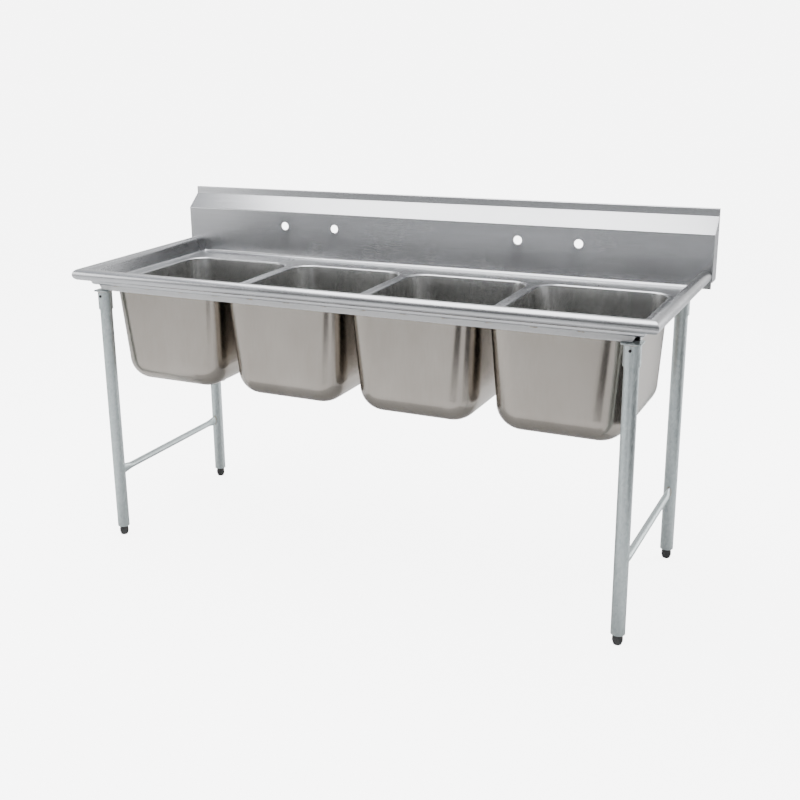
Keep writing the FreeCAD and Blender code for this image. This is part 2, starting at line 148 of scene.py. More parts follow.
# ---- node trees ----
class Signal:
    """A node's output that can stand in sums; each sign between two of them adds a Math node."""

    def __init__(self, tree, socket=None):
        self.tree = tree
        self.socket = socket

    def node(self, kind, settings=None, inputs=None, output=0):
        """Adds a node, sets it up, then fills its sockets, and gives the asked output."""
        made = self.tree.nodes.new(kind)
        for name, value in (settings or {}).items():
            if name == "stops":
                ramp = made.color_ramp
                ramp.elements.remove(ramp.elements[1])
                ramp.elements[0].position, ramp.elements[0].color = value[0]
                for position, colour in value[1:]:
                    ramp.elements.new(position).color = colour
            else:
                setattr(made, name, value)
        for key, value in (inputs or {}).items():
            if isinstance(value, Signal):
                self.tree.links.new(value.socket, made.inputs[key])
            else:
                made.inputs[key].default_value = value
        return Signal(self.tree, made.outputs[output])

    def math(self, operation, first, second=0.0):
        return self.node("ShaderNodeMath", {"operation": operation}, {0: first, 1: second})

    def __add__(self, other):
        return self.math("ADD", self, other)

    def __sub__(self, other):
        return self.math("SUBTRACT", self, other)

    def __rsub__(self, other):
        return self.math("SUBTRACT", other, self)

    def __mul__(self, other):
        return self.math("MULTIPLY", self, other)

    def __truediv__(self, other):
        return self.math("DIVIDE", self, other)

    __radd__ = __add__
    __rmul__ = __mul__


def grey(level, alpha=1.0):
    return (level, level, level, alpha)


# ---- finishes ----
def finish_base(name, metallic):
    """A new material, the start of its tree, its object coordinates, and a way to feed its surface."""
    material = bpy.data.materials.new(name)
    material.use_nodes = True
    tree = material.node_tree
    surface = tree.nodes["Principled BSDF"]
    surface.inputs["Metallic"].default_value = metallic
    start = Signal(tree)
    place = start.node("ShaderNodeTexCoord", output="Object")

    def feed(socket, value):
        tree.links.new(value.socket, surface.inputs[socket])

    return material, start, place, feed


def stretched(start, place, stretch, scale, detail=3.0, roughness=0.6):
    """Noise drawn out along the axes where stretch is small."""
    drawn = start.node("ShaderNodeMapping", {}, {"Vector": place, "Scale": stretch})
    values = {"Vector": drawn, "Scale": scale, "Detail": detail, "Roughness": roughness}
    return start.node("ShaderNodeTexNoise", {}, values)


def brushed_steel(name, dark, light, grain, rough, bump, patch=0.10):
    """Belt-polished sheet: fine lines along the grain, with slow patches of tone and gloss."""
    material, start, place, feed = finish_base(name, 1.0)
    lines = stretched(start, place, grain, scale=2000.0, detail=2.0, roughness=0.6)
    bands = stretched(start, place, grain, scale=240.0, detail=2.0, roughness=0.5)
    cloud = stretched(start, place, EVEN, scale=5.0, detail=2.0, roughness=0.5)
    tone = lines * 0.35 + bands * 0.3 + cloud * 0.35
    stops = [(0.3, dark), (0.7, light)]
    feed("Base Color", start.node("ShaderNodeValToRGB", {"stops": stops}, {"Fac": tone}))
    feed("Roughness", rough + (lines - 0.5) * 0.04 + (cloud - 0.5) * patch)
    values = {"Height": lines, "Strength": bump, "Distance": 0.0002}
    feed("Normal", start.node("ShaderNodeBump", {}, values))
    return material


def satin_drawn_steel(name, dark, light, rough):
    """Pressed bowl: warm satin with draw marks down the walls and slow patches of gloss."""
    material, start, place, feed = finish_base(name, 1.0)
    draw = stretched(start, place, (1.0, 1.0, 0.05), scale=260.0)
    blast = stretched(start, place, EVEN, scale=1400.0, detail=2.0, roughness=0.5)
    cloud = stretched(start, place, (1.0, 1.0, 0.6), scale=7.0, roughness=0.55)
    tone = draw * 0.25 + cloud * 0.6 + blast * 0.15
    stops = [(0.3, dark), (0.7, light)]
    feed("Base Color", start.node("ShaderNodeValToRGB", {"stops": stops}, {"Fac": tone}))
    feed("Roughness", rough + (cloud - 0.5) * 0.14 + (blast - 0.5) * 0.1)
    values = {"Height": blast * 0.6 + draw * 0.4, "Strength": 0.12, "Distance": 0.0003}
    feed("Normal", start.node("ShaderNodeBump", {}, values))
    return material


def galvanised_tube(name):
    """Zinc-coated tube: pale, slightly blue-green, with frosted crystals of different gloss."""
    material, start, place, feed = finish_base(name, 0.85)
    warp = stretched(start, place, (1.0, 1.0, 0.4), scale=60.0, detail=2.0, roughness=0.5)
    flake = start.node("ShaderNodeMapping", {}, {"Vector": place, "Scale": (1.0, 1.0, 0.55)})
    crystals = start.node("ShaderNodeTexVoronoi", {}, {"Vector": flake, "Scale": 170.0}, "Color")
    crystal = start.node("ShaderNodeSeparateColor", {}, {"Color": crystals}, "Red")
    cloud = stretched(start, place, (1.0, 1.0, 0.3), scale=12.0)
    tone = crystal * 0.3 + warp * 0.25 + cloud * 0.45
    stops = [(0.2, (0.50, 0.57, 0.575, 1)), (0.8, (0.72, 0.775, 0.775, 1))]
    feed("Base Color", start.node("ShaderNodeValToRGB", {"stops": stops}, {"Fac": tone}))
    feed("Roughness", 0.42 + (crystal - 0.5) * 0.08 + (cloud - 0.5) * 0.08)
    values = {"Height": warp * 0.7 + cloud * 0.3, "Strength": 0.08, "Distance": 0.0003}
    feed("Normal", start.node("ShaderNodeBump", {}, values))
    return material


def fine_grained(name, dark, light, rough, metallic=1.0):
    """Plating, casting, moulding or rubber, with slow tone changes and fine pitting."""
    material, start, place, feed = finish_base(name, metallic)
    cloud = stretched(start, place, EVEN, scale=40.0)
    pits = stretched(start, place, EVEN, scale=900.0, detail=2.0)
    stops = [(0.3, dark), (0.7, light)]
    feed("Base Color", start.node("ShaderNodeValToRGB", {"stops": stops}, {"Fac": cloud}))
    feed("Roughness", rough + (cloud - 0.5) * 0.12 + (pits - 0.5) * 0.08)
    values = {"Height": pits, "Strength": 0.1, "Distance": 0.0003}
    feed("Normal", start.node("ShaderNodeBump", {}, values))
    return material


def tinted_weld(name):
    """Weld metal with the straw and blue of its heat."""
    material, start, place, feed = finish_base(name, 1.0)
    heat = stretched(start, place, EVEN, scale=90.0, detail=2.0, roughness=0.5)
    stops = [
        (0.30, (0.46, 0.44, 0.42, 1)), (0.45, (0.62, 0.60, 0.57, 1)), (0.58, (0.50, 0.42, 0.30, 1)),
        (0.70, (0.36, 0.38, 0.46, 1)),
    ]
    feed("Base Color", start.node("ShaderNodeValToRGB", {"stops": stops}, {"Fac": heat}))
    feed("Roughness", 0.3 + heat * 0.2)
    return material


# ---- mesh helpers ----
def mesh_piece(name, points, faces, materials):
    """An object made of points and faces, with its faces turned outwards."""
    mesh = bpy.data.meshes.new(name)
    mesh.from_pydata([tuple(p) for p in points], [], faces)
    return shaded_piece(name, mesh, materials)


def shaded_piece(name, mesh, materials, face_slots=None, recalculate=True):
    """An object that holds the mesh, shaded smooth over all but its sharper edges."""
    for material in materials:
        mesh.materials.append(material)
    if face_slots:
        mesh.polygons.foreach_set("material_index", face_slots)
    if recalculate:
        work = bmesh.new()
        work.from_mesh(mesh)
        bmesh.ops.remove_doubles(work, verts=work.verts, dist=1e-6)
        bmesh.ops.recalc_face_normals(work, faces=work.faces)
        work.to_mesh(mesh)
        work.free()
    mesh.shade_smooth()
    mesh.set_sharp_from_angle(angle=math.radians(SMOOTH_BELOW))
    piece = bpy.data.objects.new(name, mesh)
    bpy.context.scene.collection.objects.link(piece)
    return piece


def joined(name, pieces):
    """One object made of several; the first gives the materials' order."""
    bpy.ops.object.select_all(action="DESELECT")
    for piece in pieces:
        piece.select_set(True)
    bpy.context.view_layer.objects.active = pieces[0]
    bpy.ops.object.join()
    pieces[0].name = name
    pieces[0].data.name = name
    return pieces[0]


def ring_faces(rings):
    """Quads between neighbouring rings of equal count, which are already in one list of points."""
    count = len(rings[0])
    faces = []
    for r in range(len(rings) - 1):
        for k in range(count):
            a, b = r * count + k, r * count + (k + 1) % count
            faces.append((a, b, b + count, a + count))
    return faces


def level_ring(centre, radius, z, count):
    """Points evenly round an upright axis through centre, all at one height."""
    angles = [2 * math.pi * k / count for k in range(count)]
    return [(centre.x + radius * math.cos(a), centre.y + radius * math.sin(a), z) for a in angles]


def turned_piece(name, profile, centre, materials, segments=96):
    """A closed ring or solid turned about the upright axis through centre; profile is (radius, z)."""
    rings = [level_ring(centre, radius, z, segments) for radius, z in profile]
    if profile[0] == profile[-1]:
        points = [p for ring in rings[:-1] for p in ring]
        total = len(points)
        faces = [tuple(i % total for i in face) for face in ring_faces(rings)]
    else:
        points = [p for ring in rings for p in ring]
        faces = ring_faces(rings)
    return mesh_piece(name, points, faces, materials)


def arc(centre, radius, start, end, count):
    """Points of an arc in a section, in degrees, ends included."""
    found = []
    for k in range(count + 1):
        angle = math.radians(start + (end - start) * k / count)
        found.append((centre[0] + radius * math.cos(angle), centre[1] + radius * math.sin(angle)))
    return found


# ---- rolled rim ----
def bent_outline(start, heading, moves):
    """Closed outline of a bent sheet's section; a pair (radius, angle) bends, a number goes straight."""
    here, half = Vector(start), SHEET / 2
    finest_turn = 6
    left, right = [], []

    def lay():
        across = Vector((math.cos(math.radians(heading + 90)), math.sin(math.radians(heading + 90))))
        left.append(here + across * half)
        right.append(here - across * half)

    lay()
    for move in moves:
        if isinstance(move, tuple):
            radius, angle = move
            side = math.copysign(90, angle)
            inward = math.radians(heading + side)
            centre = here + Vector((math.cos(inward), math.sin(inward))) * radius
            count = max(2, round(abs(angle) / finest_turn))
            for k in range(count):
                heading += angle / count
                outward = math.radians(heading - side)
                here = centre + Vector((math.cos(outward), math.sin(outward))) * radius
                lay()
        else:
            way = math.radians(heading)
            here = here + Vector((math.cos(way), math.sin(way))) * move
            lay()
    return left + right[::-1]


def rim_outline():
    """Section of the rolled rim: u inwards from the outer edge, w up from the top of the roll."""
    width = high("front_rim").y - low("front_rim").y
    rise = high("front_rim").z - low("front_rim").z
    foot_w = -rise + SHEET / 2
    lean = math.radians(RIM_LEAN)
    mid_roll = ROLL_RADIUS - SHEET / 2
    wall_u = ROLL_RADIUS + mid_roll * math.cos(lean)
    wall_w = -ROLL_RADIUS + mid_roll * math.sin(lean)
    bend = 90 - RIM_LEAN
    tangent = RIM_FOOT_RADIUS * math.tan(math.radians(bend / 2))
    foot_u = wall_u + (wall_w - foot_w) * math.tan(lean)
    wall = (wall_w - foot_w) / math.cos(lean) - tangent
    moves = [width - foot_u - tangent, (RIM_FOOT_RADIUS, -bend), wall, (mid_roll, ROLL_CURL)]
    return bent_outline((width, foot_w), 180, moves)


def swept_rim(name, place, runs, materials):
    """The rim's section carried along one edge; place(u, w, t) gives a point, t from 0 to 1."""
    outline = rim_outline()
    rings = [[place(u, w, k / runs) for u, w in outline] for k in range(runs + 1)]
    faces = ring_faces(rings)
    count = len(outline)
    faces += [tuple(range(count)), tuple(range(runs * count, (runs + 1) * count))]
    points = [p for ring in rings for p in ring]
    return mesh_piece(name, points, faces, materials)


def rims(finish_long, finish_short):
    """The front rim and the two end rims, mitred where they meet."""
    outer = high("front_rim").x
    front, back = low("front_rim").y, high("left_rim").y
    top = high("front_rim").z

    def along_front(u, w, t):
        reach = outer - u
        return (-reach + 2 * reach * t, front + u, top + w)

    piece = swept_rim("rolled_rim_front", along_front, runs=48, materials=[finish_long])
    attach(piece, "sink")
    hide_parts("front_rim")
    for word, side in SIDES:

        def along_end(u, w, t, side=side):
            start = front + u
            return (side * (outer - u), start + (back - start) * t, top + w)

        piece = swept_rim(f"rolled_rim_{word}", along_end, runs=20, materials=[finish_short])
        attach(piece, "sink")
        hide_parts(f"{word}_rim")


# ---- bowls ----
def rounded_ring(centre, half_x, half_y, radius, z):
    """Points round a rectangle with round corners, with closer points where each side meets a corner."""
    points = []
    per_corner = 12
    side_shares = (0.04, 0.25, 0.5, 0.75, 0.96)
    signs = ((1, 1), (-1, 1), (-1, -1), (1, -1))
    for quadrant, (sx, sy) in enumerate(signs):
        corner = Vector((centre.x + sx * (half_x - radius), centre.y + sy * (half_y - radius), z))
        for k in range(per_corner + 1):
            angle = math.radians(90 * (quadrant + k / per_corner))
            points.append(corner + Vector((math.cos(angle), math.sin(angle), 0)) * radius)
        ax, ay = signs[(quadrant + 1) % 4]
        onward = Vector((centre.x + ax * (half_x - radius), centre.y + ay * (half_y - radius), z))
        turn = math.radians(90 * (quadrant + 1))
        onward += Vector((math.cos(turn), math.sin(turn), 0)) * radius
        last = points[-1]
        points += [last.lerp(onward, share) for share in side_shares]
    return points


def drawn_bowl(number, deck_finish, inside_finish, outside_finish):
    """Pressed bowl: flange, rounded lip, drafted walls, deep cove, and a floor that falls to the drain."""
    node = f"bowl_{number}"
    centre, drain = middle(node), middle(f"drain_body_{number}")
    top = high(node).z
    floor = low(node).z + SHEET + SEAT_DROP
    half_x = (high(node).x - low(node).x) / 2 - BOWL_FLANGE
    half_y = (high(node).y - low(node).y) / 2 - BOWL_FLANGE
    drop = top - floor
    profile = [(-BOWL_FLANGE, 0.0)]
    profile += [(-BOWL_LIP + x, -BOWL_LIP + z) for x, z in arc((0, 0), BOWL_LIP, 90, 0, 6)]
    cove_start = drop - BOWL_COVE
    wall_steps = 8
    for k in range(1, wall_steps + 1):
        depth = BOWL_LIP + (cove_start - BOWL_LIP) * k / wall_steps
        profile.append((BOWL_DRAFT * depth / drop, -depth))
    cove_inset = profile[-1][0]
    lower_corner = BOWL_CORNER + (BOWL_LOWER_CORNER - BOWL_CORNER) * cove_start / drop
    for x, z in arc((0, 0), BOWL_COVE, 180, 270, 12)[1:]:
        profile.append((cove_inset + BOWL_COVE + x, -cove_start + z))
    rings = []
    for inset, z in profile:
        widened = BOWL_CORNER + (lower_corner - BOWL_CORNER) * min(1.0, -z / cove_start)
        radius = widened + max(0.0, -inset) - max(0.0, inset - cove_inset)
        rings.append(rounded_ring(centre, half_x - inset, half_y - inset, radius, top + z))
    edge = rings[-1]
    seat_ring = [drain_point(drain, p, SEAT_RADIUS + SEAT_MARGIN, floor) for p in edge]
    floor_steps, full_rise = 8, 0.25
    for k in range(1, floor_steps + 1):
        share = k / floor_steps
        ring = []
        for outer, inner in zip(edge, seat_ring):
            point = outer.lerp(inner, share)
            point.z = floor + BOWL_PITCH_TO_DRAIN * (1 - share) * min(1.0, share / full_rise)
            ring.append(point)
        rings.append(ring)
    ease = 0.0006
    for radius, z in ((0.002, -ease), (0.0, -SEAT_DROP + ease), (-0.001, -SEAT_DROP)):
        rings.append([drain_point(drain, p, SEAT_RADIUS + radius, floor + z) for p in seat_ring])
    rings.append([drain_point(drain, p, DRAIN_HOLE, floor - SEAT_DROP) for p in seat_ring])
    faces = ring_faces(rings)
    polished_strips = 6
    slots = [0 if k < polished_strips * len(edge) else 1 for k in range(len(faces))]
    mesh = bpy.data.meshes.new("formed_bowl")
    mesh.from_pydata([tuple(p) for ring in rings for p in ring], [], faces)
    finishes_in_order = [deck_finish, inside_finish, outside_finish]
    piece = shaded_piece(f"formed_bowl_{number}", mesh, finishes_in_order, slots, recalculate=False)
    wall = piece.modifiers.new("sheet", "SOLIDIFY")
    wall.material_offset = 2
    wall.thickness = SHEET
    wall.offset = -1
    wall.use_even_offset = True
    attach(piece, "sink")
    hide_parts(node)


def drain_point(drain, point, radius, z):
    """The point at a radius from the drain's axis that lies on the way from it to the given point."""
    away = Vector((point.x - drain.x, point.y - drain.y, 0)).normalized()
    return Vector((drain.x, drain.y, z)) + away * radius


# ---- what repeats or follows a path ----
def sizes_tree(name, sizes):
    """A geometry tree with a named input for each size; gives the tree, its start and its inputs."""
    tree = bpy.data.node_groups.new(name, "GeometryNodeTree")
    face = tree.interface
    face.new_socket("Geometry", in_out="INPUT", socket_type="NodeSocketGeometry")
    for label, value in sizes.items():
        kind = {int: "NodeSocketInt", float: "NodeSocketFloat"}[type(value)]
        face.new_socket(label, in_out="INPUT", socket_type=kind).default_value = value
    face.new_socket("Finish", in_out="INPUT", socket_type="NodeSocketMaterial")
    face.new_socket("Geometry", in_out="OUTPUT", socket_type="NodeSocketGeometry")
    entry = tree.nodes.new("NodeGroupInput")
    given = {socket.name: Signal(tree, socket) for socket in entry.outputs if socket.name}
    return tree, Signal(tree), given


def close_tree(tree, shape, finish):
    """Ends a tree in real geometry with its finish."""
    real = shape.node("GeometryNodeRealizeInstances", {}, {"Geometry": shape})
    done = shape.node("GeometryNodeSetMaterial", {}, {"Geometry": real, "Material": finish})
    out = tree.nodes.new("NodeGroupOutput")
    tree.links.new(done.socket, out.inputs["Geometry"])
    return tree


def bead_tree():
    """Weld bead along a path: a rounded run whose width ripples and dies away at both ends."""
    tree, start, given = sizes_tree("weld_bead", {"Width": 0.004, "Ripple": 0.002, "Closed": 0.0})
    path = start.node("GeometryNodeMeshToCurve", {}, {"Mesh": given["Geometry"]})
    steps_per_ripple, ripple_depth, end_width = 5.0, 0.09, 0.25
    step = given["Ripple"] / steps_per_ripple
    path = start.node("GeometryNodeResampleCurve", {"mode": "LENGTH"}, {"Curve": path, "Length": step})
    along = start.node("GeometryNodeSplineParameter", output="Length")
    total = start.node("GeometryNodeSplineLength", output="Length")
    wave = start.math("SINE", along * (2 * math.pi) / given["Ripple"])
    to_end = start.math("MINIMUM", along, total - along)
    taper = start.math("MINIMUM", to_end / given["Width"] + end_width, 1.0)
    taper = start.math("MAXIMUM", taper, given["Closed"])
    radius = given["Width"] * 0.5 * (1.0 + wave * ripple_depth) * taper
    ring = start.node("GeometryNodeCurvePrimitiveCircle", {}, {"Resolution": 10, "Radius": 1.0})
    sockets = {"Curve": path, "Profile Curve": ring, "Scale": radius, "Fill Caps": True}
    return close_tree(tree, start.node("GeometryNodeCurveToMesh", {}, sockets), given["Finish"])


def thread_tree():
    """Screw thread: a round-crested ridge wound up a stem from the origin."""
    sizes = {"Turns": 10.0, "Pitch": 0.002, "Radius": 0.01, "Ridge": 0.0008}
    tree, start, given = sizes_tree("screw_thread", sizes)
    sockets = {
        "Resolution": 40, "Rotations": given["Turns"], "Start Radius": given["Radius"],
        "End Radius": given["Radius"], "Height": given["Turns"] * given["Pitch"],
    }
    helix = start.node("GeometryNodeCurveSpiral", {}, sockets)
    ring = start.node("GeometryNodeCurvePrimitiveCircle", {}, {"Resolution": 6, "Radius": given["Ridge"]})
    sockets = {"Curve": helix, "Profile Curve": ring, "Fill Caps": True}
    return close_tree(tree, start.node("GeometryNodeCurveToMesh", {}, sockets), given["Finish"])


def flute_tree():
    """Upright grip ribs set evenly round a foot."""
    sizes = {"Count": 16, "Radius": 0.0145, "Width": 0.0012, "Height": 0.012}
    tree, start, given = sizes_tree("grip_ribs", sizes)
    ring = start.node("GeometryNodeMeshCircle", {}, {"Vertices": given["Count"], "Radius": given["Radius"]})
    turn = start.node("GeometryNodeInputIndex") * (2 * math.pi) / given["Count"]
    facing = start.node("ShaderNodeCombineXYZ", {}, {"Z": turn})
    sockets = {"Vertices": 10, "Radius": given["Width"], "Depth": given["Height"]}
    rib = start.node("GeometryNodeMeshCylinder", {}, sockets)
    sockets = {"Points": ring, "Instance": rib, "Rotation": facing}
    return close_tree(tree, start.node("GeometryNodeInstanceOnPoints", {}, sockets), given["Finish"])


def grown(name, tree, values, finish, base=None, place=(0, 0, 0)):
    """Runs a tree on a base mesh and gives its result as a plain mesh object, moved to its place."""
    holder = bpy.data.objects.new(name, base or bpy.data.meshes.new(name))
    bpy.context.scene.collection.objects.link(holder)
    grower = holder.modifiers.new("grower", "NODES")
    grower.node_group = tree
    by_name = {s.name: s.identifier for s in tree.interface.items_tree if s.in_out == "INPUT"}
    for label, value in values.items():
        grower[by_name[label]] = value
    grower[by_name["Finish"]] = finish
    graph = bpy.context.evaluated_depsgraph_get()
    mesh = bpy.data.meshes.new_from_object(holder.evaluated_get(graph))
    bpy.data.objects.remove(holder)
    mesh.transform(Matrix.Translation(place))
    mesh.shade_smooth()
    mesh.set_sharp_from_angle(angle=math.radians(GROWN_SMOOTH_BELOW))
    piece = bpy.data.objects.new(name, mesh)
    bpy.context.scene.collection.objects.link(piece)
    return piece


def path_mesh(points, closed):
    """Points joined by edges, in a ring if closed."""
    mesh = bpy.data.meshes.new("path")
    count = len(points)
    edges = [(k, (k + 1) % count) for k in range(count if closed else count - 1)]
    mesh.from_pydata([tuple(p) for p in points], edges, [])
    return mesh


def weld(name, tree, runs, finish, width=BEAD_WIDTH):
    """One piece of weld metal made of several beads; each run is (points, closed)."""
    beads = []
    for number, (points, closed) in enumerate(runs):
        values = {"Width": width, "Ripple": BEAD_RIPPLE, "Closed": 1.0 if closed else 0.0}
        beads.append(grown(f"{name}_{number}", tree, values, finish, path_mesh(points, closed)))
    piece = joined(name, beads)
    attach(piece, "sink")


# ---- splash ----
def splash_outline(coved):
    """Section of the splash in (y, z): coved or straight foot, face, slope, upturn, turned-back lip."""
    back, top, foot = high("backsplash").y, high("backsplash").z, low("backsplash").z
    face = high("left_rim").y
    bend = FACE_BEND
    slope_y, slope_z = back - SPLASH_RETURN - face, UPTURN_BEND - bend
    angle = math.degrees(math.atan2(slope_z, slope_y))
    trim = SPLASH_BEND_RADIUS * math.tan(math.radians((90 - angle) / 2))
    hem = 0.006
    over = [
        (SPLASH_BEND_RADIUS, angle - 90), math.hypot(slope_y, slope_z) - 2 * trim,
        (SPLASH_BEND_RADIUS, 90 - angle), top - SHEET / 2 - SPLASH_LIP_RADIUS - UPTURN_BEND - trim,
        (SPLASH_LIP_RADIUS, -90), SPLASH_RETURN - SHEET - 2 * SPLASH_LIP_RADIUS, (SPLASH_LIP_RADIUS, -90),
        hem,
    ]
    middle_y = face + SHEET / 2
    if coved:
        rise = bend - (foot + SHEET / 2 + SPLASH_COVE) - trim
        start = (middle_y - SPLASH_COVE, foot + SHEET / 2)
        return bent_outline(start, 0, [(SPLASH_COVE, 90), rise] + over)
    return bent_outline((middle_y, foot), 90, [bend - trim - foot] + over)


def splash(finish):
    """One folded sheet in three runs, coved between the rims, with its faucet holes pierced."""
    left, right = low("backsplash").x, high("backsplash").x
    rim = high("left_rim").x - low("left_rim").x
    runs = (
        (left, left + rim, False, 2), (left + rim, right - rim, True, 40),
        (right - rim, right, False, 2),
    )
    pieces = []
    for start, end, coved, count in runs:
        outline = splash_outline(coved)
        rings = [[(start + (end - start) * k / count, y, z) for y, z in outline] for k in range(count + 1)]
        total = len(outline)
        faces = ring_faces(rings) + [tuple(range(total)), tuple(range(count * total, (count + 1) * total))]
        pieces.append(mesh_piece("fold", [p for ring in rings for p in ring], faces, [finish]))
    pierced = pieces[1]
    for pair in (-1, 1):
        for hole in (-1, 1):
            divider = pair * (middle("bowl_3").x - middle("bowl_2").x)
            centre = Vector((divider + hole * FAUCET_SPACING / 2, high("left_rim").y, FAUCET_Z))
            pierce(pierced, centre)
    piece = joined("folded_splash", pieces)
    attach(piece, "sink")
    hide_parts("backsplash")


def pierce(sheet, centre):
    """Cuts one round hole through an upright sheet."""
    reach = 0.02
    profile = [(0, -reach), (FAUCET_HOLE_RADIUS, -reach), (FAUCET_HOLE_RADIUS, reach), (0, reach)]
    punch = turned_piece("punch", profile, Vector((0, 0, 0)), [], 64)
    punch.data.transform(Matrix.Translation(centre) @ Matrix.Rotation(math.radians(90), 4, "X"))
    cut = sheet.modifiers.new("hole", "BOOLEAN")
    cut.object = punch
    cut.solver = "EXACT"
    graph = bpy.context.evaluated_depsgraph_get()
    mesh = bpy.data.meshes.new_from_object(sheet.evaluated_get(graph))
    sheet.modifiers.clear()
    sheet.data = mesh
    mesh.shade_smooth()
    mesh.set_sharp_from_angle(angle=math.radians(SMOOTH_BELOW))
    bpy.data.objects.remove(punch)


# ---- legs, sockets, rails and feet ----
def leg_tube(word, finish):
    """Galvanised tube with its ends dressed."""
    node = f"leg_{word}"
    bottom, top = low(node).z, high(node).z
    bore, dress = LEG_RADIUS - LEG_WALL, 0.0006
    profile = [
        (bore, bottom), (LEG_RADIUS - dress, bottom), (LEG_RADIUS, bottom + dress), (LEG_RADIUS, top - dress),
        (LEG_RADIUS - dress, top), (bore, top), (bore, bottom),
    ]
    piece = turned_piece(f"tube_leg_{word}", profile, middle(node), [finish])
    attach(piece, "sink")
    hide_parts(node)


def crossrail_half(distance):
    """Half width and half height of the rail at a distance from the leg's axis."""
    share = (distance - RAIL_FLAT_END) / (RAIL_ROUND_START - RAIL_FLAT_END)
    share = min(1.0, max(0.0, share))
    ease = share * share * (3 - 2 * share)
    return tuple(flat + (RAIL_RADIUS - flat) * ease for flat in RAIL_FLAT)


def crossrail(word, bead, finish, weld_finish):
    """Tube pressed flat and tall at both ends, coped to the legs and welded round."""
    node = f"crossrail_{word}"
    x, z = middle(node).x, middle(node).z
    front, rear = middle(f"leg_front_{word}").y, middle(f"leg_rear_{word}").y
    around, steps = 48, 10
    stations = [k / steps * RAIL_ROUND_START for k in range(3, steps + 1)]
    stations = stations + [(rear - front) / 2] + [rear - front - s for s in reversed(stations)]
    rings = []
    for station in [0.0] + stations + [rear - front]:
        wide, tall = crossrail_half(min(station, rear - front - station))
        ring = []
        for k in range(around):
            angle = 2 * math.pi * k / around
            px, pz = wide * math.cos(angle), tall * math.sin(angle)
            cope = math.sqrt(LEG_RADIUS ** 2 - px ** 2) - COPE_OVERLAP
            y = front + min(max(station, cope), rear - front - cope)
            ring.append((x + px, y, z + pz))
        rings.append(ring)
    faces = ring_faces(rings)
    last = (len(rings) - 1) * around
    faces += [tuple(range(around)), tuple(range(last, last + around))]
    piece = mesh_piece(f"pressed_rail_{word}", [p for r in rings for p in r], faces, [finish])
    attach(piece, "sink")
    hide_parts(node)
    runs = []
    for ring, way in ((rings[0], 1), (rings[-1], -1)):
        runs.append(([(px, py + way * BEAD_LIFT, pz) for px, py, pz in ring], True))
    weld(f"rail_weld_{word}", bead, runs, weld_finish)


def socket_weld(bead, weld_finish):
    """Fillet round the top of every socket, under its plate."""
    runs = []
    for word in CORNERS:
        centre, top = middle(f"leg_{word}"), high(f"leg_{word}").z
        ring = level_ring(centre, LEG_RADIUS + SOCKET_WALL, top - SOCKET_WELD_DROP, 40)
        runs.append((ring, True))
    weld("socket_welds", bead, runs, weld_finish)


def stitch_welds(bead, weld_finish):
    """Short stitches along both edges of every channel, where it meets the deck."""
    long_margin, short_margin = 0.06, 0.05
    rows = (
        ("front_channel", 0, long_margin), ("rear_channel", 0, long_margin),
        ("end_channel_left", 1, short_margin), ("end_channel_right", 1, short_margin),
    )
    under = high("front_channel").z - BEAD_LIFT
    runs = []
    for node, along, margin in rows:
        lo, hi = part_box(node)
        across = 1 - along
        for edge in (lo[across], hi[across]):
            start = lo[along] + margin
            while start < hi[along] - margin:
                ends = []
                for reach in (start, start + STITCH_LENGTH):
                    point = Vector((0, 0, under))
                    point[along], point[across] = reach, edge
                    ends.append(point)
                runs.append((ends, False))
                start += STITCH_PITCH
    weld("channel_stitches", bead, runs, weld_finish, STITCH_WIDTH)


def channel_ends(word, cut, finish):
    """Plates that close the ends of a long channel; cut is how far each end slants back."""
    lo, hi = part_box(f"{word}_channel")
    pieces = []
    for side in (-1, 1):
        rings = []
        for inset in (END_PLATE_INSET, END_PLATE_INSET + END_PLATE):
            top_x, foot_x = side * (hi.x - inset), side * (hi.x - inset - cut)
            top_z, foot_z = hi.z - END_PLATE_INSET, lo.z + SHEET / 2
            front, back = lo.y + SHEET, hi.y - SHEET
            rings.append([
                (top_x, front, top_z), (foot_x, front, foot_z), (foot_x, back, foot_z), (top_x, back, top_z),
            ])
        faces = ring_faces(rings) + [(0, 1, 2, 3), (4, 5, 6, 7)]
        pieces.append(mesh_piece("end", [p for ring in rings for p in ring], faces, [finish]))
    piece = joined(f"{word}_channel_ends", pieces)
    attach(piece, "sink")


